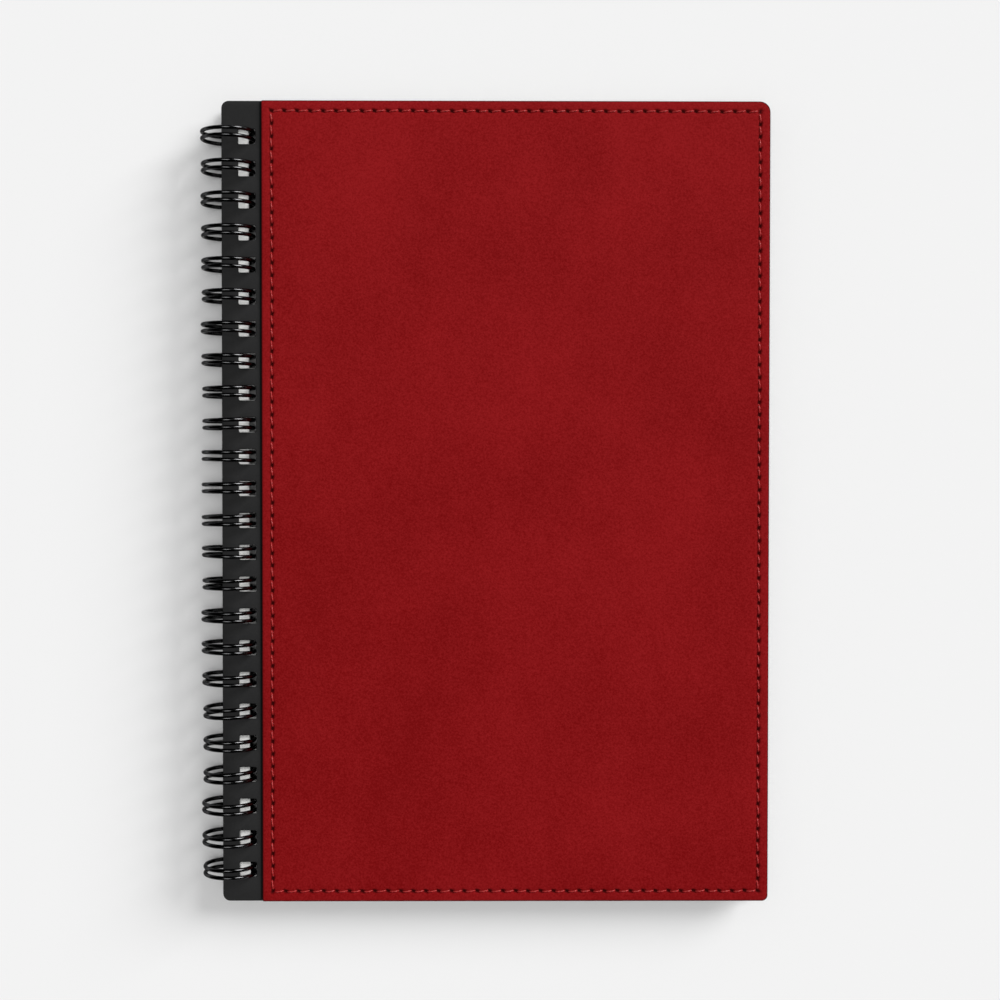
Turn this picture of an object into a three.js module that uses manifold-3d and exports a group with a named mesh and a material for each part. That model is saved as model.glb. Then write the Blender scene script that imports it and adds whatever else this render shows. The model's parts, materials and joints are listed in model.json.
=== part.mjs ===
// A closed wire-bound notebook, A5 class, lying on its back cover. Millimetres, +Z up.
// X runs from the wire (left) to the fore edge (right), and Y along the wire. The origin is the
// centre of the object's footprint, on the surface that it lies on.
//
// Each cover is a punched black board with a stitched leather panel on its outside and a paper
// lining on its inside. The leaves hang between the covers on one twin-loop wire, and everything
// turns about the axis of its loops. The wire is one length bent into 24 pairs of loops: here each
// pair is a piece of its own, which ends halfway to the next pair.

import * as THREE from 'three';
import { mergeVertices } from 'three/addons/utils/BufferGeometryUtils.js';
import Module from 'manifold-3d';

const wasm = await Module();
wasm.setup();

// ---- Driving dimensions ----------------------------------------------------------------------

// Twin-loop wire: three pairs of loops to the inch
const PITCH = 25.4 / 3;
const PAIRS = 24;
const ROW_SHIFT_Y = -0.5; // the row of holes sits a little low on the covers
const LOOP_R = 6.72; // centre line of a closed loop
const WIRE_R = 0.53;
const STRAND_GAP = 2.1; // between the centre lines of the two strands of a pair
const ROOT_ANGLE = 266; // degrees round the loop, where the strands turn towards the next pair
const TIP_ANGLE = 278; // where the two strands join in a round tip
const ROOT_BEND = 9; // degrees of the loop that the bend into the root takes
const ROOT_BEND_Y = 1.1; // and its reach along the wire
const TIP_BEND = 9;
const STRAND_STEPS = 16;
const WIRE_SIDES = 5;
const WIRE_END_GAP = 0.1; // between two pairs' halves of a root

// Covers
const COVER_W = 145.28;
const COVER_H = 212.5;
const COVER_MARGIN = 4.38; // board between the spine edge and the holes
const COVER_HOLE_W = 4.6;
const HOLE_H = 4.0;
const STRIP_W = 10.6; // bare board beside the leather
const BOARD_T = 0.85;
const LEATHER_T = 0.8;
const BACK_LEATHER_T = 1.55;
const LINING_T = 0.1;
const LAMINATE_GAP = 0.03; // glue line between two layers
// Corner radii: the leather's left corners are cut square, beside the strip
const BOARD_CORNERS = { topLeft: 1.4, topRight: 2.8, bottomRight: 1.5, bottomLeft: 1.9 };
const LEATHER_CORNERS = { topLeft: 0.5, topRight: 2.8, bottomRight: 1.5, bottomLeft: 0.5 };
const LEATHER_EDGE = 0.3; // bevel round the leather
const LINING_INSET = 2.5;
const LINING_CORNER_R = 1.3;

// Stitching: a shallow channel round each leather panel with the thread in it
const STITCH_INSET = 2.7;
const CHANNEL_W = 1.0;
const CHANNEL_DEPTH = 0.5;
const CUT_OVERLAP = 0.2; // how far the cut for the channel starts outside the leather
const STITCH_CORNER_R = 0.4; // tightest turn of the row of stitches
const THREAD_W = 0.45;
const THREAD_T = 0.35;
const THREAD_SUNK = 0.08;

// Leaves
const PAGE_W = 139.5;
const PAGE_H = 209;
const PAGE_MARGIN = 3.2;
const PAGE_HOLE_W = 4.0;
const PAGE_CORNER_R = 1.0;

// Heights, from the surface up
const LOOP_AXIS_Z = 7.3;
const BACK_BOARD_Z = 1.6;
const FRONT_BOARD_Z = 7.0;
// name, bottom, top, and the near side of its holes from the loops' axis: the lower blocks lean with
// the round of the wire and the upper leaves lie back from it, every hole staying on the loops
const LEAVES = [
  { name: 'page_section_4', bottom: 2.75, top: 3.85, holes: 4.0 },
  { name: 'page_section_3', bottom: 3.9, top: 4.75, holes: 5.0 },
  { name: 'page_section_2', bottom: 4.8, top: 5.65, holes: 5.5 },
  { name: 'page_section_1', bottom: 5.7, top: 6.66, holes: 5.35 },
  { name: 'first_leaf', bottom: 6.72, top: 6.84, holes: 4.95 },
];

// Places across the object, from the loops' axis
const FRONT_SPINE_EDGE = -1.6;
const BACK_SPINE_EDGE = -COVER_MARGIN / 2; // the margin lies level inside the bottom of the loops
const FOOTPRINT_LEFT = -7.22;
const FOOTPRINT_RIGHT = FRONT_SPINE_EDGE + COVER_W;
const AXIS_X = -(FOOTPRINT_LEFT + FOOTPRINT_RIGHT) / 2;

// ---- Materials -------------------------------------------------------------------------------

const material = (color, roughness, metalness = 0) =>
  new THREE.MeshStandardMaterial({ color, roughness, metalness });
const redLeather = () => material('#7e1a1c', 0.75);
const blackBoard = () => material('#2c2c2c', 0.8);
const pagePaper = () => material('#efefec', 0.9);
const liningPaper = () => material('#1f1f20', 0.85);
const redThread = () => material('#a03a3c', 0.7);
const blackWire = () => material('#111111', 0.25, 0.6);

// ---- Helpers ---------------------------------------------------------------------------------

const everyCorner = (radius) => ({
  topLeft: radius,
  topRight: radius,
  bottomRight: radius,
  bottomLeft: radius,
});

// A rectangle with rounded corners, as a Shape or as the Path of a hole
function roundedRectangle(path, left, right, bottom, top, corners) {
  const { topLeft, topRight, bottomRight, bottomLeft } = corners;
  const quarter = Math.PI / 2;
  path.moveTo(left + bottomLeft, bottom);
  path.lineTo(right - bottomRight, bottom);
  path.absarc(right - bottomRight, bottom + bottomRight, bottomRight, -quarter, 0, false);
  path.lineTo(right, top - topRight);
  path.absarc(right - topRight, top - topRight, topRight, 0, quarter, false);
  path.lineTo(left + topLeft, top);
  path.absarc(left + topLeft, top - topLeft, topLeft, quarter, 2 * quarter, false);
  path.lineTo(left, bottom + bottomLeft);
  path.absarc(left + bottomLeft, bottom + bottomLeft, bottomLeft, 2 * quarter, 3 * quarter, false);
  path.closePath();
  return path;
}

function rectangle(path, left, right, bottom, top) {
  path.moveTo(left, bottom);
  path.lineTo(right, bottom);
  path.lineTo(right, top);
  path.lineTo(left, top);
  path.closePath();
  return path;
}

// A flat plate of the shape between two heights
function plate(shape, bottom, top) {
  const geometry = new THREE.ExtrudeGeometry(shape, {
    depth: top - bottom,
    bevelEnabled: false,
    curveSegments: 3,
  });
  return geometry.translate(0, 0, bottom);
}

// The same with both of its edges bevelled
function bevelledPlate(shape, bottom, top, bevel) {
  const geometry = new THREE.ExtrudeGeometry(shape, {
    depth: top - bottom - 2 * bevel,
    bevelThickness: bevel,
    bevelSize: bevel,
    bevelOffset: -bevel,
    bevelSegments: 1,
    curveSegments: 4,
  });
  return geometry.translate(0, 0, bottom + bevel);
}

function toSolid(geometry) {
  const bare = geometry.clone();
  bare.deleteAttribute('normal');
  bare.deleteAttribute('uv');
  const merged = mergeVertices(bare, 1e-4);
  return new wasm.Manifold(new wasm.Mesh({
    numProp: 3,
    vertProperties: merged.attributes.position.array,
    triVerts: new Uint32Array(merged.index.array),
  }));
}

function toGeometry(solid) {
  const mesh = solid.getMesh();
  const geometry = new THREE.BufferGeometry();
  geometry.setAttribute('position', new THREE.BufferAttribute(mesh.vertProperties, 3));
  geometry.setIndex(new THREE.BufferAttribute(mesh.triVerts, 1));
  geometry.computeVertexNormals();
  return geometry;
}

const notebook = new THREE.Group();
notebook.position.x = AXIS_X;

function add(name, geometry, meshMaterial) {
  const mesh = new THREE.Mesh(geometry, meshMaterial);
  mesh.name = name;
  notebook.add(mesh);
}

const pairY = (pair) => ROW_SHIFT_Y + (pair - (PAIRS - 1) / 2) * PITCH;

// ---- Punched sheets: boards and leaves -------------------------------------------------------

function punchedSheet({ spineEdge, width, height, corners, holes, holeWidth, bottom, top }) {
  const outline = roundedRectangle(
    new THREE.Shape(), spineEdge, spineEdge + width, -height / 2, height / 2, corners,
  );
  for (let pair = 0; pair < PAIRS; pair += 1) {
    const low = pairY(pair) - HOLE_H / 2;
    outline.holes.push(rectangle(new THREE.Path(), holes, holes + holeWidth, low, low + HOLE_H));
  }
  return plate(outline, bottom, top);
}

function coverBoard(spineEdge, bottom) {
  return punchedSheet({
    spineEdge,
    width: COVER_W,
    height: COVER_H,
    corners: BOARD_CORNERS,
    holes: spineEdge + COVER_MARGIN,
    holeWidth: COVER_HOLE_W,
    bottom,
    top: bottom + BOARD_T,
  });
}

function leaves({ bottom, top, holes }) {
  return punchedSheet({
    spineEdge: holes - PAGE_MARGIN,
    width: PAGE_W,
    height: PAGE_H,
    corners: everyCorner(PAGE_CORNER_R),
    holes,
    holeWidth: PAGE_HOLE_W,
    bottom,
    top,
  });
}

// ---- Leather, stitching and lining -----------------------------------------------------------

// A band along the row of stitches
function edgeBand(spineEdge, width, bottom, top) {
  const at = (path, d) => roundedRectangle(
    path,
    spineEdge + STRIP_W + d,
    spineEdge + COVER_W - d,
    -COVER_H / 2 + d,
    COVER_H / 2 - d,
    everyCorner(STITCH_CORNER_R),
  );
  const band = at(new THREE.Shape(), STITCH_INSET - width / 2);
  band.holes.push(at(new THREE.Path(), STITCH_INSET + width / 2));
  return plate(band, bottom, top);
}

// The outer face is the one with the stitching: the top of the front panel, the bottom of the back
function leatherPanel(spineEdge, bottom, thickness, outerFaceUp) {
  const outline = roundedRectangle(
    new THREE.Shape(), spineEdge + STRIP_W, spineEdge + COVER_W, -COVER_H / 2, COVER_H / 2,
    LEATHER_CORNERS,
  );
  const panel = toSolid(bevelledPlate(outline, bottom, bottom + thickness, LEATHER_EDGE));
  const [low, high] = outerFaceUp
    ? [bottom + thickness - CHANNEL_DEPTH, bottom + thickness + CUT_OVERLAP]
    : [bottom - CUT_OVERLAP, bottom + CHANNEL_DEPTH];
  const channel = toSolid(edgeBand(spineEdge, CHANNEL_W, low, high));
  return toGeometry(panel.subtract(channel));
}

function stitching(spineEdge, outerFaceZ, outerFaceUp) {
  const bottom = outerFaceUp ? outerFaceZ - THREAD_SUNK - THREAD_T : outerFaceZ + THREAD_SUNK;
  return edgeBand(spineEdge, THREAD_W, bottom, bottom + THREAD_T);
}

function lining(spineEdge, bottom) {
  const outline = roundedRectangle(
    new THREE.Shape(),
    spineEdge + STRIP_W + LINING_INSET,
    spineEdge + COVER_W - LINING_INSET,
    -COVER_H / 2 + LINING_INSET,
    COVER_H / 2 - LINING_INSET,
    everyCorner(LINING_CORNER_R),
  );
  return plate(outline, bottom, bottom + LINING_T);
}

// ---- Twin-loop wire --------------------------------------------------------------------------

function onLoop(degrees, y) {
  const angle = THREE.MathUtils.degToRad(degrees);
  return new THREE.Vector3(
    LOOP_R * Math.cos(angle),
    y,
    LOOP_AXIS_Z + LOOP_R * Math.sin(angle),
  );
}

// Half a pair, from the middle of its root to its tip: side is -1 for the lower strand, 1 for the
// upper one. The strand runs round the loop from below the spine, up the left and over to the tip.
function halfPair(y, side) {
  const strand = STRAND_GAP / 2;
  const root = PITCH / 2 - WIRE_END_GAP / 2;
  const start = ROOT_ANGLE - ROOT_BEND;
  const end = TIP_ANGLE + TIP_BEND - 360;
  // Each bend is a quarter turn, with one point halfway round it
  const near = 1 - Math.SQRT1_2;
  const far = Math.SQRT1_2;
  const points = [
    onLoop(ROOT_ANGLE, y + side * root),
    onLoop(ROOT_ANGLE, y + side * (strand + ROOT_BEND_Y)),
    onLoop(ROOT_ANGLE - ROOT_BEND * near, y + side * (strand + ROOT_BEND_Y * near)),
  ];
  for (let step = 0; step <= STRAND_STEPS; step += 1) {
    points.push(onLoop(start + ((end - start) * step) / STRAND_STEPS, y + side * strand));
  }
  points.push(onLoop(end - TIP_BEND * far, y + side * strand * far));
  return points;
}

function twinLoop(y) {
  const points = [
    ...halfPair(y, -1),
    onLoop(TIP_ANGLE - 360, y),
    ...halfPair(y, 1).reverse(),
  ];
  const path = new THREE.CatmullRomCurve3(points);
  path.getUtoTmapping = (u) => u; // a step at each point, close together where the wire bends
  const section = new THREE.Shape();
  for (let k = 0; k < WIRE_SIDES; k += 1) {
    const angle = (2 * Math.PI * k) / WIRE_SIDES;
    const x = WIRE_R * Math.cos(angle);
    const v = WIRE_R * Math.sin(angle);
    if (k === 0) section.moveTo(x, v);
    else section.lineTo(x, v);
  }
  section.closePath();
  return new THREE.ExtrudeGeometry(section, {
    steps: points.length - 1,
    extrudePath: path,
    bevelEnabled: false,
  });
}

// ---- Assembly --------------------------------------------------------------------------------

// Back cover, from the surface up
add('back_leather_panel', leatherPanel(BACK_SPINE_EDGE, 0, BACK_LEATHER_T, false), redLeather());
add('back_stitching', stitching(BACK_SPINE_EDGE, 0, false), redThread());
add('back_cover_board', coverBoard(BACK_SPINE_EDGE, BACK_BOARD_Z), blackBoard());
const backLiningZ = BACK_BOARD_Z + BOARD_T + LAMINATE_GAP;
add('back_lining', lining(BACK_SPINE_EDGE, backLiningZ), liningPaper());

// Leaves
for (const block of LEAVES) add(block.name, leaves(block), pagePaper());

// Front cover
const frontLiningZ = FRONT_BOARD_Z - LAMINATE_GAP - LINING_T;
const frontLeatherZ = FRONT_BOARD_Z + BOARD_T + LAMINATE_GAP;
add('front_lining', lining(FRONT_SPINE_EDGE, frontLiningZ), liningPaper());
add('front_cover_board', coverBoard(FRONT_SPINE_EDGE, FRONT_BOARD_Z), blackBoard());
add(
  'front_leather_panel',
  leatherPanel(FRONT_SPINE_EDGE, frontLeatherZ, LEATHER_T, true),
  redLeather(),
);
add(
  'front_stitching',
  stitching(FRONT_SPINE_EDGE, frontLeatherZ + LEATHER_T, true),
  redThread(),
);

// Wire, pair 01 at the foot of the notebook
for (let pair = 0; pair < PAIRS; pair += 1) {
  const number = String(pair + 1).padStart(2, '0');
  add(`twin_loop_${number}`, twinLoop(pairY(pair)), blackWire());
}

export default notebook;
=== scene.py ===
"""Looks of a closed wire-bound notebook, lying on its back cover on a pale table.

Everything is in the part's own frame: +X from the wire to the fore edge, +Y along the wire, +Z up.
Lengths are in millimetres until a mesh is made, and every mesh is in metres.
"""

import json
import math
import random

import bmesh
import bpy
import numpy as np
from mathutils import Matrix, Vector


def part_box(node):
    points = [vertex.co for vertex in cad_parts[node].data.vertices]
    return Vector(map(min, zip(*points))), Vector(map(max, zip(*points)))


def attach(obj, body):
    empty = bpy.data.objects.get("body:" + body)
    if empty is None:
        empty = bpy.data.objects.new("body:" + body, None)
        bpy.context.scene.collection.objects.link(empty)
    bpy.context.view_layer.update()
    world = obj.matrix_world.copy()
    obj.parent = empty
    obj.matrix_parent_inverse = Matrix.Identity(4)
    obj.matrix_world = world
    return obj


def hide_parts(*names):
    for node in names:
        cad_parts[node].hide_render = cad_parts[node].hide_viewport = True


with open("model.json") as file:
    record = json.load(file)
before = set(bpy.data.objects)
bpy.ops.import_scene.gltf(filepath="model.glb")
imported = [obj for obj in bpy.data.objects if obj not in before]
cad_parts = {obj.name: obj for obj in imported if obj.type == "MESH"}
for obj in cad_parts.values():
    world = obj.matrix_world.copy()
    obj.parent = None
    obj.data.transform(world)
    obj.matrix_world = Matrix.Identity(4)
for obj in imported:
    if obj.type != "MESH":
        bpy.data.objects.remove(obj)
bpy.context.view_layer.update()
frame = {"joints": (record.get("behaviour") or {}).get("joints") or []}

MM = 0.001
rng = random.Random(7)

# ---- Dimensions, from the frame where it has them ----------------------------------------------

PAIRS = 24
HINGE = next(j for j in frame["joints"] if j["name"] == "front_cover_turn")["pos_m"]
AXIS_X, AXIS_Z = HINGE[0] / MM, HINGE[2] / MM


def cad_box(node):
    """(left, right, bottom, top, low, high) of a CAD node, in millimetres."""
    low, high = (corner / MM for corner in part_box(node))
    return low.x, high.x, low.y, high.y, low.z, high.z


def loop_y(pair):
    _, _, bottom, top, _, _ = cad_box(f"twin_loop_{pair + 1:02d}")
    return (bottom + top) / 2


LOOP_Y = [loop_y(pair) for pair in range(PAIRS)]
PITCH = (LOOP_Y[-1] - LOOP_Y[0]) / (PAIRS - 1)

LOOP_R = 6.72  # to the middle of the wire
WIRE_R = 0.53
STRAND_GAP = 2.1  # between the two strands of a loop, at the holes
STRAND_GAP_LEFT = 1.8  # and at the far left
ROOT_ANGLE = 266  # where the wire runs on to the next loop, round from +X towards +Z
TIP_ANGLE = 276.5  # where the two strands of a loop join
ROOT_BEND_R = 1.15

COVER_MARGIN = 4.38  # between the spine edge and the holes
COVER_HOLE = (4.6, 4.0)
COVER_HOLE_CORNER = 0.45
BOARD_EDGE = 0.18  # radius of a board's rounded edges
LINING_CORNER = 1.3
LINING_EDGE = 0.04
PAGE_MARGIN = 3.2
PAGE_HOLE = (4.0, 4.0)
PAGE_HOLE_CORNER = 0.3
LEAF_T = 0.085
LEAF_PITCH = 0.098

# Corner radii, in the order top left, top right, bottom right, bottom left
BOARD_CORNERS = (1.9, 2.8, 1.5, 1.9)
LEATHER_CORNERS = (0.4, 2.8, 1.5, 0.4)
PAGE_CORNERS = (1.0, 1.0, 1.0, 1.0)

STITCH_INSET = 2.7
STITCH_PITCH = 3.36
NEEDLE_HOLE = (0.64, 0.45)  # half its length along the seam and half its width
NEEDLE_SLANT = 0.2  # sideways for each millimetre along the seam
COVER_REACH = 106.0  # from the middle of a cover to its head
SEAM_SHADE_W = 0.65  # of the painted shade on the cover paper beside the leather

# ---- Camera and light --------------------------------------------------------------------------

CAMERA_LENS = 58.13
CAMERA_PLACE = (0.716, 9.04, 437.0)
CAMERA_TURN = (-1.106, -0.43, 0.034)  # degrees


def make_camera():
    camera = bpy.data.objects.new("camera", bpy.data.cameras.new("camera"))
    bpy.context.scene.collection.objects.link(camera)
    camera.data.sensor_width = 36
    camera.data.lens = CAMERA_LENS
    camera.data.clip_start = 0.01
    camera.location = Vector(CAMERA_PLACE) * MM
    camera.rotation_mode = "ZYX"
    camera.rotation_euler = [math.radians(turn) for turn in CAMERA_TURN]
    bpy.context.scene.camera = camera


def make_sun(name, azimuth, elevation, width, irradiance):
    """A lamp whose light on the table has the given irradiance. The azimuth is from +X towards
    +Y, and all three angles are in degrees."""
    lamp = bpy.data.lights.new(name, "SUN")
    lamp.angle = math.radians(width)
    around, up = math.radians(azimuth), math.radians(elevation)
    lamp.energy = irradiance / math.sin(up)
    sun = bpy.data.objects.new(name, lamp)
    bpy.context.scene.collection.objects.link(sun)
    level = math.cos(up)
    towards = Vector((math.cos(around) * level, math.sin(around) * level, math.sin(up)))
    sun.rotation_euler = towards.to_track_quat("Z", "Y").to_euler()


def make_world(irradiance):
    world = bpy.data.worlds.new("studio")
    bpy.context.scene.world = world
    world.use_nodes = True
    background = world.node_tree.nodes["Background"]
    background.inputs["Color"].default_value = (1, 1, 1, 1)
    background.inputs["Strength"].default_value = irradiance / math.pi
    world.cycles_visibility.glossy = False


TABLE_WHITE = 0.8
TABLE_HALF = 3.0  # metres
TABLE_GAP = 0.02
TABLE_LIGHT = 3.49  # irradiance that makes the table's white as pale as a light studio backdrop
KEY_SHARE, OVERHEAD_SHARE, WORLD_SHARE = 0.38, 0.30, 0.33


def make_stage():
    make_sun("key_light", 36, 28, 30, KEY_SHARE * TABLE_LIGHT)
    make_sun("overhead_light", 0, 89, 30, OVERHEAD_SHARE * TABLE_LIGHT)
    make_world(WORLD_SHARE * TABLE_LIGHT)
    bpy.context.scene.view_settings.view_transform = "Standard"
    mesh = bpy.data.meshes.new("table")
    half = TABLE_HALF
    below = -TABLE_GAP * MM
    corners = [(-half, -half, below), (half, -half, below), (half, half, below), (-half, half, below)]
    mesh.from_pydata(corners, [], [(0, 1, 2, 3)])
    table = bpy.data.objects.new("table", mesh)
    bpy.context.scene.collection.objects.link(table)
    table_paint = bpy.data.materials.new("table")
    table_paint.use_nodes = True
    shader = table_paint.node_tree.nodes["Principled BSDF"]
    shader.inputs["Base Color"].default_value = (TABLE_WHITE, TABLE_WHITE, TABLE_WHITE, 1)
    shader.inputs["Roughness"].default_value = 1.0
    shader.inputs["Specular IOR Level"].default_value = 0.0
    mesh.materials.append(table_paint)


# ---- Materials ---------------------------------------------------------------------------------


class Paint:
    """A Principled material and the few nodes that these surfaces are mixed from."""

    def __init__(self, name, roughness, specular):
        self.material = bpy.data.materials.new(name)
        self.material.use_nodes = True
        self.nodes = self.material.node_tree.nodes
        self.links = self.material.node_tree.links
        self.shader = self.nodes["Principled BSDF"]
        self.shader.inputs["Roughness"].default_value = roughness
        self.shader.inputs["Specular IOR Level"].default_value = specular
        self.place = self.nodes.new("ShaderNodeTexCoord").outputs["Object"]

    def noise(self, size, detail=2.0, roughness=0.5, stretch=(1, 1, 1), turn=0.0):
        """Noise whose features are about `size` millimetres across."""
        mapping = self.nodes.new("ShaderNodeMapping")
        mapping.inputs["Rotation"].default_value = (0, 0, turn)
        mapping.inputs["Scale"].default_value = stretch
        texture = self.nodes.new("ShaderNodeTexNoise")
        texture.inputs["Scale"].default_value = 1 / (size * MM)
        texture.inputs["Detail"].default_value = detail
        texture.inputs["Roughness"].default_value = roughness
        self.links.new(self.place, mapping.inputs["Vector"])
        self.links.new(mapping.outputs["Vector"], texture.inputs["Vector"])
        return texture.outputs["Fac"]

    def along(self, axis):
        """The place along an axis of the part, in millimetres."""
        axes = self.nodes.new("ShaderNodeSeparateXYZ")
        self.links.new(self.place, axes.inputs["Vector"])
        return self.math("DIVIDE", axes.outputs[axis], MM)

    def attribute(self, name):
        node = self.nodes.new("ShaderNodeAttribute")
        node.attribute_name = name
        return node.outputs["Fac"]

    def span(self, value, low, high, to_low=0.0, to_high=1.0):
        """Maps low..high to to_low..to_high and holds it there."""
        node = self.nodes.new("ShaderNodeMapRange")
        node.inputs["From Min"].default_value = low
        node.inputs["From Max"].default_value = high
        node.inputs["To Min"].default_value = to_low
        node.inputs["To Max"].default_value = to_high
        self.links.new(value, node.inputs["Value"])
        return node.outputs["Result"]

    def math(self, operation, *values):
        node = self.nodes.new("ShaderNodeMath")
        node.operation = operation
        for socket, value in zip(node.inputs, values):
            if isinstance(value, (int, float)):
                socket.default_value = value
            else:
                self.links.new(value, socket)
        return node.outputs["Value"]

    def mix(self, factor, a, b, blend="MIX"):
        node = self.nodes.new("ShaderNodeMix")
        node.data_type = "RGBA"
        node.blend_type = blend
        if isinstance(factor, (int, float)):
            node.inputs["Factor"].default_value = factor
        else:
            self.links.new(factor, node.inputs["Factor"])
        for socket, value in ((node.inputs["A"], a), (node.inputs["B"], b)):
            if isinstance(value, tuple):
                socket.default_value = (*value, 1)
            else:
                self.links.new(value, socket)
        return node.outputs["Result"]

    def bump(self, height, depth, strength=1.0, after=None):
        node = self.nodes.new("ShaderNodeBump")
        node.inputs["Distance"].default_value = depth * MM
        node.inputs["Strength"].default_value = strength
        self.links.new(height, node.inputs["Height"])
        if after is not None:
            self.links.new(after, node.inputs["Normal"])
        return node.outputs["Normal"]

    def set(self, socket, value):
        self.links.new(value, self.shader.inputs[socket])


def nubuck_paint():
    """Brushed red leather: a fine short nap, cloudy patches where it has been stroked, a paler
    rubbed rim, a burnished cut edge, and painted shade down in the needle holes."""
    paint = Paint("red_nubuck", 0.8, 0.07)
    deep, full = (0.158, 0.0001, 0.0008), (0.244, 0.0072, 0.0088)
    clouds = paint.span(paint.noise(32, 4, 0.55), 0.30, 0.70)
    streaks = paint.span(paint.noise(7, 4, 0.6, stretch=(1, 0.5, 1), turn=0.5), 0.3, 0.7)
    nap = paint.span(paint.noise(0.5, 3, 0.75), 0.32, 0.68, -0.5, 0.5)
    head = paint.span(paint.along("Y"), -COVER_REACH, COVER_REACH, -0.12, 0.12)
    shade = paint.math("MULTIPLY_ADD", clouds, 0.44, 0.18)
    shade = paint.math("MULTIPLY_ADD", streaks, 0.16, shade)
    shade = paint.math("MULTIPLY_ADD", nap, 0.95, shade)
    shade = paint.math("ADD", shade, head)
    shade = paint.math("MULTIPLY_ADD", paint.attribute("rim"), 0.05, shade)
    colour = paint.mix(shade, deep, full)
    colour = paint.mix(paint.attribute("cut"), colour, (0.014, 0.0020, 0.0028))
    # Painted shade: the leather goes nearly black down in each needle hole, as deep as the needle mask
    # says.
    paint.set("Base Color", paint.mix(paint.attribute("needle"), colour, (0.040, 0.0005, 0.0006)))
    paint.set("Roughness", paint.span(clouds, 0, 1, 0.74, 0.88))
    paint.shader.inputs["Sheen Weight"].default_value = 0.02
    paint.shader.inputs["Sheen Roughness"].default_value = 0.5
    paint.shader.inputs["Sheen Tint"].default_value = (1.0, 0.35, 0.33, 1)
    grain = paint.bump(paint.noise(0.5, 3, 0.65), 0.07, 0.9)
    paint.set("Normal", paint.bump(paint.noise(4.5, 3, 0.5), 0.10, 0.5, after=grain))
    return paint.material


def thread_paint():
    """Waxed red thread."""
    paint = Paint("red_thread", 0.34, 0.5)
    fibres = paint.noise(0.16, 3, 0.6)
    colour = paint.mix(paint.span(fibres, 0.3, 0.7), (0.30, 0.010, 0.011), (0.48, 0.030, 0.030))
    paint.set("Base Color", colour)
    paint.shader.inputs["Sheen Weight"].default_value = 0.15
    paint.shader.inputs["Sheen Tint"].default_value = (1.0, 0.4, 0.36, 1)
    paint.set("Normal", paint.bump(fibres, 0.02, 0.5))
    return paint.material


def board_paint(side):
    """Matte black cover paper with a faint fibre grain, and painted shade in a narrow strip beside the
    leather.
    """
    paint = Paint(f"black_cover_paper_{side}", 0.74, 0.12)
    seam = cad_box(f"{side}_leather_panel")[0]
    grain = paint.noise(0.5, 4, 0.65)
    cloud = paint.noise(14, 3, 0.5)
    tone = paint.math("ADD", paint.math("MULTIPLY", grain, 0.6), paint.math("MULTIPLY", cloud, 0.4))
    colour = paint.mix(paint.span(tone, 0.35, 0.65), (0.0165, 0.0165, 0.0167), (0.0225, 0.0225, 0.0228))
    # Painted shade: the cover paper goes near black in a narrow strip just beside the leather's cut
    # edge.
    seam_shade = paint.span(paint.along("X"), seam - SEAM_SHADE_W, seam - SEAM_SHADE_W / 2)
    paint.set("Base Color", paint.mix(seam_shade, colour, (0.0030, 0.0030, 0.0030)))
    paint.set("Roughness", paint.span(grain, 0.3, 0.7, 0.68, 0.82))
    paint.set("Normal", paint.bump(grain, 0.03, 0.6))
    return paint.material


def lining_paint():
    """Black endpaper, a little smoother than the cover paper."""
    paint = Paint("black_endpaper", 0.62, 0.2)
    fibre = paint.noise(1.1, 4, 0.6, stretch=(1, 0.35, 1))
    colour = paint.mix(paint.span(fibre, 0.3, 0.7), (0.0130, 0.0130, 0.0135), (0.0200, 0.0200, 0.0210))
    paint.set("Base Color", colour)
    paint.set("Normal", paint.bump(fibre, 0.02, 0.5))
    return paint.material


def paper_paint():
    paint = Paint("white_paper", 0.85, 0.2)
    fibre = paint.noise(0.6, 4, 0.6)
    colour = paint.mix(paint.span(fibre, 0.3, 0.7), (0.865, 0.865, 0.850), (0.915, 0.915, 0.900))
    paint.set("Base Color", colour)
    paint.set("Normal", paint.bump(fibre, 0.012, 0.4))
    return paint.material


def wire_paint():
    """Black plated steel: glossy, not quite even, and without the pale rim of a clear varnish."""
    paint = Paint("black_wire_coating", 0.16, 0.5)
    uneven = paint.noise(1.6, 3, 0.5)
    paint.set("Base Color", paint.mix(uneven, (0.046, 0.046, 0.047), (0.064, 0.064, 0.066)))
    paint.shader.inputs["Metallic"].default_value = 1.0
    paint.shader.inputs["Specular Tint"].default_value = (0.4, 0.4, 0.4, 1)
    paint.set("Roughness", paint.span(uneven, 0.3, 0.7, 0.13, 0.22))
    paint.set("Normal", paint.bump(uneven, 0.02, 0.3))
    return paint.material


# ---- Mesh helpers ------------------------------------------------------------------------------


def place(name, mesh, paint, body, nodes):
    obj = bpy.data.objects.new(name, mesh)
    bpy.context.scene.collection.objects.link(obj)
    mesh.materials.append(paint)
    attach(obj, body)
    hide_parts(*nodes)
    return obj


def to_mesh(name, vertices, faces, smooth_below=40.0):
    """A mesh in metres from points in millimetres, smooth except where it turns sharply."""
    mesh = bpy.data.meshes.new(name)
    mesh.from_pydata([tuple(c * MM for c in v) for v in vertices], [], faces)
    mesh.validate()
    mesh.polygons.foreach_set("use_smooth", [True] * len(mesh.polygons))
    mesh.set_sharp_from_angle(angle=math.radians(smooth_below))
    return mesh


def arc(cx, cy, radius, start, end, steps):
    for k in range(steps + 1):
        a = math.radians(start + (end - start) * k / steps)
        yield (cx + radius * math.cos(a), cy + radius * math.sin(a))


def rounded(left, right, bottom, top, radii, steps=6):
    """An anticlockwise outline with its own radius at each corner."""
    tl, tr, br, bl = radii
    return [
        *arc(left + bl, bottom + bl, bl, 180, 270, steps),
        *arc(right - br, bottom + br, br, 270, 360, steps),
        *arc(right - tr, top - tr, tr, 0, 90, steps),
        *arc(left + tl, top - tl, tl, 90, 180, steps),
    ]


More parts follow.
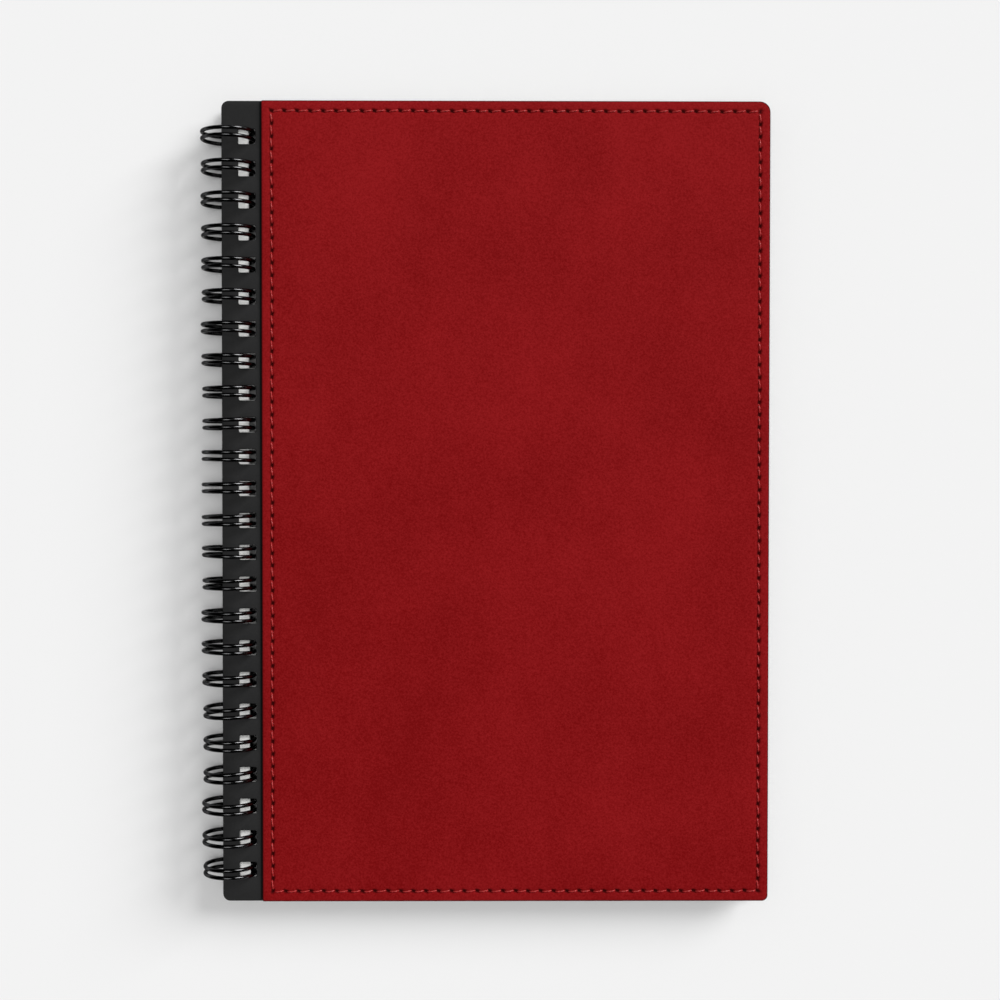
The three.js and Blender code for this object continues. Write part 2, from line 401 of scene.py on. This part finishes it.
def slab(name, outline, holes, low, high, edge, steps=2):
    """A flat sheet with holes and rounded edges, as a mesh in metres."""
    curve = bpy.data.curves.new(name, "CURVE")
    curve.dimensions = "2D"
    curve.fill_mode = "BOTH"
    for loop in (outline, *holes):
        spline = curve.splines.new("POLY")
        spline.points.add(len(loop) - 1)
        for point, (x, y) in zip(spline.points, loop):
            point.co = (x * MM, y * MM, 0, 1)
        spline.use_cyclic_u = True
    curve.extrude = ((high - low) / 2 - edge) * MM
    curve.bevel_depth = edge * MM
    curve.bevel_resolution = steps
    curve.offset = -edge * MM
    holder = bpy.data.objects.new(name, curve)
    bpy.context.scene.collection.objects.link(holder)
    depsgraph = bpy.context.evaluated_depsgraph_get()
    mesh = bpy.data.meshes.new_from_object(holder.evaluated_get(depsgraph))
    bpy.data.objects.remove(holder)
    mesh.name = name
    solid = bmesh.new()
    solid.from_mesh(mesh)
    bmesh.ops.remove_doubles(solid, verts=solid.verts, dist=0.002 * MM)
    bmesh.ops.translate(solid, verts=solid.verts, vec=(0, 0, (low + high) / 2 * MM))
    bmesh.ops.recalc_face_normals(solid, faces=solid.faces)
    solid.to_mesh(mesh)
    solid.free()
    mesh.polygons.foreach_set("use_smooth", [True] * len(mesh.polygons))
    mesh.set_sharp_from_angle(angle=math.radians(40))
    return mesh


def hole_row(left, size, corner, steps=4):
    """The row of holes for the wire, whose near side is at `left`."""
    width, height = size
    return [
        rounded(left, left + width, y - height / 2, y + height / 2, (corner,) * 4, steps)
        for y in LOOP_Y
    ]


def tube(points, radius, sides):
    """Vertices and faces of a round wire along the points, with closed ends."""
    p = np.array(points, float)
    tangents = np.gradient(p, axis=0)
    tangents /= np.linalg.norm(tangents, axis=1)[:, None]
    across = np.cross(tangents[0], (0.0, 0.0, 1.0))
    if np.linalg.norm(across) < 0.1:
        across = np.cross(tangents[0], (0.0, 1.0, 0.0))
    normals = np.empty_like(p)
    for k, tangent in enumerate(tangents):
        across = across - tangent * (across @ tangent)
        across /= np.linalg.norm(across)
        normals[k] = across
    binormals = np.cross(tangents, normals)
    angles = np.arange(sides) * 2 * math.pi / sides
    rings = (
        p[:, None, :]
        + radius * np.cos(angles)[None, :, None] * normals[:, None, :]
        + radius * np.sin(angles)[None, :, None] * binormals[:, None, :]
    )
    vertices = rings.reshape(-1, 3).tolist()
    faces = []
    for k in range(len(p) - 1):
        for s in range(sides):
            t = (s + 1) % sides
            faces.append((k * sides + s, k * sides + t, (k + 1) * sides + t, (k + 1) * sides + s))
    last = (len(p) - 1) * sides
    faces.append(tuple(range(sides - 1, -1, -1)))
    faces.append(tuple(last + s for s in range(sides)))
    return vertices, faces


def join(parts):
    """Several (vertices, faces) as one."""
    vertices, faces = [], []
    for part_vertices, part_faces in parts:
        base = len(vertices)
        vertices.extend(part_vertices)
        faces.extend(tuple(base + i for i in face) for face in part_faces)
    return vertices, faces


# ---- Covers ------------------------------------------------------------------------------------


def make_board(side, paint):
    node = f"{side}_cover_board"
    left, right, bottom, top, low, high = cad_box(node)
    mesh = slab(
        node,
        rounded(left, right, bottom, top, BOARD_CORNERS),
        hole_row(left + COVER_MARGIN, COVER_HOLE, COVER_HOLE_CORNER),
        low,
        high,
        BOARD_EDGE,
    )
    place(f"{side}_punched_board", mesh, paint, f"{side}_cover", [node])


def make_lining(side, paint):
    node = f"{side}_lining"
    left, right, bottom, top, low, high = cad_box(node)
    outline = rounded(left, right, bottom, top, (LINING_CORNER,) * 4)
    mesh = slab(node, outline, [], low, high, LINING_EDGE, 1)
    place(f"{side}_endpaper", mesh, paint, f"{side}_cover", [node])


NEEDLE_STRAY = (0.12, 0.06)  # along the seam and across it


def stitch_line(box):
    """Needle holes round the panel as (x, y, dx, dy): a place and the direction of sewing."""
    left, right, bottom, top = box
    x0, x1 = left + STITCH_INSET, right - STITCH_INSET
    y0, y1 = bottom + STITCH_INSET, top - STITCH_INSET
    corners = [(x0, y1), (x1, y1), (x1, y0), (x0, y0)]
    needles = []
    for (ax, ay), (bx, by) in zip(corners, corners[1:] + corners[:1]):
        length = math.hypot(bx - ax, by - ay)
        count = round(length / STITCH_PITCH)
        dx, dy = (bx - ax) / length, (by - ay) / length
        for k in range(count):
            along = length * k / count
            if k:
                along += rng.uniform(-NEEDLE_STRAY[0], NEEDLE_STRAY[0])
            off = rng.uniform(-NEEDLE_STRAY[1], NEEDLE_STRAY[1])
            needles.append((ax + dx * along - dy * off, ay + dy * along + dx * off, dx, dy))
    return needles


BAND_W = 7.5  # how far in from the edge the leather is modelled finely
BAND_STEP = 0.30
BAND_CORNERS = (0.4,) * 4  # of the flat middle
CORNER_STEPS = 8
# Insets of the rows of points, closest at the edge and along the seam
BAND_ROWS = (
    0.0, 0.05, 0.13, 0.24, 0.38, 0.6, 0.95, 1.35, 1.7, 1.98, 2.18, 2.32, 2.45, 2.58, 2.70,
    2.82, 2.95, 3.08, 3.22, 3.42, 3.75, 4.3, 5.0, 5.8, 6.6, BAND_W,
)


def side_points(a, b, count):
    """Evenly spaced points from a to b, without b."""
    (ax, ay), (bx, by) = a, b
    return [(ax + (bx - ax) * k / count, ay + (by - ay) * k / count) for k in range(count)]


def matched_outline(box, inset, radii, counts):
    """The panel's outline at an inset, sampled the same way at every inset."""
    left, right, bottom, top = box
    l, r, b, t = left + inset, right - inset, bottom + inset, top - inset
    tl, tr, br, bl = radii
    across, up = counts
    points = []
    points += list(arc(l + bl, b + bl, bl, 180, 270, CORNER_STEPS))[:-1]
    points += side_points((l + bl, b), (r - br, b), across)
    points += list(arc(r - br, b + br, br, 270, 360, CORNER_STEPS))[:-1]
    points += side_points((r, b + br), (r, t - tr), up)
    points += list(arc(r - tr, t - tr, tr, 0, 90, CORNER_STEPS))[:-1]
    points += side_points((r - tr, t), (l + tl, t), across)
    points += list(arc(l + tl, t - tl, tl, 90, 180, CORNER_STEPS))[:-1]
    points += side_points((l, t - tl), (l, b + bl), up)
    return np.array(points)


# How far the leather goes down and over what width, both in millimetres
EDGE_ROLLS = ((0.22, 0.22), (0.05, 1.0))
SEAM_DIPS = ((0.10, 0.45), (0.07, 2.2))
NEEDLE_DEPTH = 0.5
NEEDLE_CHUNK = 4000  # points worked out at a time


def leather_height(xy, inset, needles, thickness):
    """Height of the outer face over the board: it rolls down to the cut edge, is drawn in along
    the stitching, and drops into each needle hole. Also returns how deep in a hole a point is."""
    height = np.full(len(xy), thickness)
    for drop, width in EDGE_ROLLS:
        height -= drop * math.exp(-inset / width)
    for drop, width in SEAM_DIPS:
        height -= drop * math.exp(-(((inset - STITCH_INSET) / width) ** 2))
    depth = np.zeros(len(xy))
    places = np.array([(x, y) for x, y, _, _ in needles])
    along = np.array([(dx, dy) for _, _, dx, dy in needles])
    for start in range(0, len(xy), NEEDLE_CHUNK):
        chunk = xy[start:start + NEEDLE_CHUNK]
        d = chunk[:, None, :] - places[None]
        u = (d * along[None]).sum(2)
        v = d[..., 0] * -along[None, :, 1] + d[..., 1] * along[None, :, 0]
        v = v + NEEDLE_SLANT * u
        near = np.exp(-((u / NEEDLE_HOLE[0]) ** 4) - ((v / NEEDLE_HOLE[1]) ** 4)).max(1)
        depth[start:start + NEEDLE_CHUNK] = near
    return height - NEEDLE_DEPTH * depth, depth


RIM_W = 2.2  # of the rubbed rim
CUT_W = 0.2  # of the burnished edge
UNDERCUT = 0.06  # how far the cut edge leans in and starts above the board


def make_leather(side, paint, thread):
    """A panel as rings of points from its cut edge inwards, and then its stitches."""
    node = f"{side}_leather_panel"
    left, right, bottom, top, low, high = cad_box(node)
    box = (left, right, bottom, top)
    thickness = high - low
    outward = 1 if side == "front" else -1
    base = low if side == "front" else high
    counts = (round((right - left) / BAND_STEP), round((top - bottom) / BAND_STEP))
    outer = matched_outline(box, 0, LEATHER_CORNERS, counts)
    inner = matched_outline(box, BAND_W, BAND_CORNERS, counts)
    around = len(outer)
    needles = stitch_line(box)

    rings, heights, rims, cuts, depths = [], [], [], [], []

    def ring(inset, height, depth):
        rings.append(outer + (inner - outer) * inset / BAND_W)
        heights.append(height)
        rims.append(np.full(around, math.exp(-((inset / RIM_W) ** 4))))
        cuts.append(np.full(around, math.exp(-((inset / CUT_W) ** 2))))
        depths.append(depth)

    none = np.zeros(around)
    ring(UNDERCUT, none, none)
    ring(0.0, none + UNDERCUT, none)
    for inset in BAND_ROWS:
        place_in = outer + (inner - outer) * inset / BAND_W
        ring(inset, *leather_height(place_in, inset, needles, thickness))

    rows = len(rings)
    xy = np.concatenate(rings)
    z = base + outward * np.concatenate(heights)
    vertices = np.column_stack([xy, z]).tolist()
    faces = []
    for row in range(rows - 1):
        for k in range(around):
            n = (k + 1) % around
            quad = (row * around + k, row * around + n, (row + 1) * around + n, (row + 1) * around + k)
            faces.append(quad if outward > 0 else quad[::-1])
    last = (rows - 1) * around
    middle = tuple(range(last, last + around))
    under = tuple(range(around - 1, -1, -1))
    faces += [middle, under] if outward > 0 else [middle[::-1], under[::-1]]
    mesh = to_mesh(node, vertices, faces, 60)
    # The needle attribute is the mask for the painted shade in the needle holes.
    for name, values in (("rim", rims), ("cut", cuts), ("needle", depths)):
        attribute = mesh.attributes.new(name, "FLOAT", "POINT")
        attribute.data.foreach_set("value", np.concatenate(values).astype(np.float32))
    place(f"{side}_leather", mesh, paint, f"{side}_cover", [node])
    make_stitches(side, needles, base + outward * thickness, outward, thread)


PLY_R = 0.115
PLY_OFFSET = 0.07  # of each ply from the middle of the thread
PLY_STEPS = 16
PLY_SIDES = 7
PLY_TURNS = 1.3  # in one stitch
STITCH_SINK = 0.65  # how far its ends go down into the holes
STITCH_SLANT = 0.15  # to each side of the seam
STITCH_ENDS = 0.15  # of the way between two holes, left clear at each end
STITCH_PROUD = {"front": 0.05, "back": -0.20}  # the back ones are pressed in level


def stitch(a, b, surface, outward, proud, phase):
    """One stitch from needle hole to needle hole: two twisted plies that rise out of one hole,
    lie a little askew over the leather and go down into the next."""
    ax, ay, dx, dy = a
    bx, by, _, _ = b
    length = math.hypot(bx - ax, by - ay)
    ux, uy = (bx - ax) / length, (by - ay) / length
    plies = []
    for ply in range(2):
        points = []
        for k in range(PLY_STEPS + 1):
            s = k / PLY_STEPS
            turn = phase + math.pi * (ply + 2 * PLY_TURNS * s)
            sideways = STITCH_SLANT * (2 * s - 1) + PLY_OFFSET * math.cos(turn)
            up = proud + PLY_OFFSET * math.sin(turn) - STITCH_SINK * abs(2 * s - 1) ** 3
            along = length * (STITCH_ENDS + (1 - 2 * STITCH_ENDS) * s)
            points.append((
                ax + ux * along - uy * sideways,
                ay + uy * along + ux * sideways,
                surface + outward * up,
            ))
        plies.append(tube(points, PLY_R, PLY_SIDES))
    return plies


def make_stitches(side, needles, surface, outward, paint):
    parts = []
    for a, b in zip(needles, needles[1:] + needles[:1]):
        parts += stitch(a, b, surface, outward, STITCH_PROUD[side], rng.uniform(0, math.pi))
    mesh = to_mesh(f"{side}_stitches", *join(parts), 80)
    place(f"{side}_stitches", mesh, paint, f"{side}_cover", [f"{side}_stitching"])


# ---- Leaves ------------------------------------------------------------------------------------


def leaf_outline(left, right, bottom, top, holes_left, ease=0.0):
    """A leaf and its holes, which reach nearer the spine edge by `ease`."""
    width, height = PAGE_HOLE
    holes = hole_row(holes_left - ease, (width + ease, height), PAGE_HOLE_CORNER, 3)
    return rounded(left, right, bottom, top, PAGE_CORNERS, 4), holes


def turn_about_wire(mesh, degrees):
    """Turns a flat sheet a little in its own plane, as a loose leaf can lie."""
    pivot = Vector((AXIS_X, 0, 0)) * MM
    turn = Matrix.Rotation(math.radians(degrees), 4, "Z")
    mesh.transform(Matrix.Translation(pivot) @ turn @ Matrix.Translation(-pivot))


# The sections, from the back cover: their body, and how much nearer the spine edge their holes reach
SECTIONS = {
    "page_section_4": ("rear_pages", 0.85),
    "page_section_3": ("rear_pages", 0.65),
    "page_section_2": ("front_pages", 0.6),
    "page_section_1": ("front_pages", 0.0),
}
SHEET_TURN = 0.02  # degrees that a sheet may lie askew
SHEET_SHIFT_X = (-0.08, 0.04)
SHEET_SHIFT_Y = (-0.12, 0.12)


def make_section(node, body, paint, ease):
    """The loose leaves of one section, each a sheet of its own, not quite squared up. The deeper
    a section lies, the more room its holes need to clear the wire as it turns."""
    left, right, bottom, top, low, high = cad_box(node)
    outline, holes = leaf_outline(left, right, bottom, top, left + PAGE_MARGIN, ease)
    sheet = slab(node, outline, holes, -LEAF_T / 2, LEAF_T / 2, 0.0, 0)
    count = int((high - low) / LEAF_PITCH)
    stack = bmesh.new()
    for k in range(count):
        z = low + (high - low) * (k + 0.5) / count
        turn = Matrix.Rotation(math.radians(rng.uniform(-SHEET_TURN, SHEET_TURN)), 4, "Z")
        shift = Vector((rng.uniform(*SHEET_SHIFT_X), rng.uniform(*SHEET_SHIFT_Y), z)) * MM
        before = len(stack.verts)
        stack.from_mesh(sheet)
        stack.verts.ensure_lookup_table()
        bmesh.ops.transform(stack, matrix=Matrix.Translation(shift) @ turn, verts=stack.verts[before:])
    stack.to_mesh(sheet)
    stack.free()
    place(f"{node}_leaves", sheet, paint, body, [node])


FIRST_LEAF_TURN = 0.37  # degrees that the loose first leaf lies askew on the wire
FIRST_LEAF_TRIM = 0.65  # off its spine edge, so that a turned cover clears it


def make_first_leaf(paint):
    left, right, bottom, top, _, high = cad_box("first_leaf")
    spine_edge = left + FIRST_LEAF_TRIM
    outline, holes = leaf_outline(spine_edge, right, bottom, top, left + PAGE_MARGIN)
    mesh = slab("first_leaf", outline, holes, high - LEAF_T, high, 0.0, 0)
    turn_about_wire(mesh, FIRST_LEAF_TURN)
    place("first_loose_leaf", mesh, paint, "first_leaf", ["first_leaf"])


# ---- Wire --------------------------------------------------------------------------------------


LOOP_STRAY_Y = (-0.06, 0.26)
LOOP_FLAT = (0.0, 0.5)  # how far its left is pressed in
FLAT_POWER = 6  # keeps the flat to the far left
LOOP_LEAN = 0.03  # along the wire for each millimetre across
ROOT_STEPS = 4
BEND_STEPS = 6
ROUND_STEPS = 56
WIRE_SIDES = 12
CLOSEST = 0.05  # points nearer than this to the last one are left out


def on_loop(degrees, y, loop):
    """A point of a loop: angle round it and place along the wire, with the loop's own small
    faults. The two strands come closer together at the left of a loop."""
    a = math.radians(degrees)
    x, z = LOOP_R * math.cos(a), LOOP_R * math.sin(a)
    flattened = loop["flat"] * ((1 - math.cos(a)) / 2) ** FLAT_POWER
    return (AXIS_X + x + flattened, loop["y"] + y + loop["lean"] * x, AXIS_Z + z)


def strand_y(degrees):
    """How far a strand lies from the middle of its loop, along the wire."""
    left = (1 - math.cos(math.radians(degrees))) / 2
    return (STRAND_GAP + (STRAND_GAP_LEFT - STRAND_GAP) * left) / 2


def wire_path():
    """The whole wire: for each pair, out of the root, round the loop to the tip and back. Half a
    loop is listed as (angle, place along the wire) and then mirrored."""
    per_mm = math.degrees(1 / LOOP_R)
    bend = ROOT_BEND_R * per_mm
    points = []
    for y in LOOP_Y:
        loop = {
            "y": y + rng.uniform(*LOOP_STRAY_Y),
            "flat": rng.uniform(*LOOP_FLAT),
            "lean": rng.uniform(-LOOP_LEAN, LOOP_LEAN),
        }
        half = []
        root_y = strand_y(ROOT_ANGLE) + ROOT_BEND_R
        for k in range(ROOT_STEPS):
            half.append((ROOT_ANGLE, PITCH / 2 + (root_y - PITCH / 2) * k / ROOT_STEPS))
        for k in range(BEND_STEPS + 1):
            a = math.radians(90 * k / (BEND_STEPS + 1))
            half.append((
                ROOT_ANGLE - bend * (1 - math.cos(a)),
                root_y - ROOT_BEND_R * math.sin(a),
            ))
        tip_r = strand_y(TIP_ANGLE)
        start, end = ROOT_ANGLE - bend, TIP_ANGLE - 360 + tip_r * per_mm
        for k in range(ROUND_STEPS + 1):
            degrees = start + (end - start) * k / ROUND_STEPS
            half.append((degrees, strand_y(degrees)))
        for k in range(1, BEND_STEPS):
            a = math.radians(90 * k / BEND_STEPS)
            half.append((end - tip_r * per_mm * math.sin(a), tip_r * math.cos(a)))
        points += [on_loop(a, -v, loop) for a, v in half]
        points.append(on_loop(TIP_ANGLE - 360, 0, loop))
        points += [on_loop(a, v, loop) for a, v in reversed(half)]
    return points


def make_wire(paint):
    path = wire_path()
    cleaned = [path[0]]
    for point in path[1:]:
        if math.dist(point, cleaned[-1]) > CLOSEST:
            cleaned.append(point)
    mesh = to_mesh("twin_loop_wire", *tube(cleaned, WIRE_R, WIRE_SIDES), 80)
    nodes = [f"twin_loop_{pair + 1:02d}" for pair in range(PAIRS)]
    place("twin_loop_wire", mesh, paint, "binding_wire", nodes)


# ---- The notebook ------------------------------------------------------------------------------

make_camera()
make_stage()

leather, thread = nubuck_paint(), thread_paint()
endpaper, paper = lining_paint(), paper_paint()
for cover_side in ("front", "back"):
    make_board(cover_side, board_paint(cover_side))
    make_lining(cover_side, endpaper)
    make_leather(cover_side, leather, thread)
for section, (section_body, hole_ease) in SECTIONS.items():
    make_section(section, section_body, paper, hole_ease)
make_first_leaf(paper)
make_wire(wire_paint())
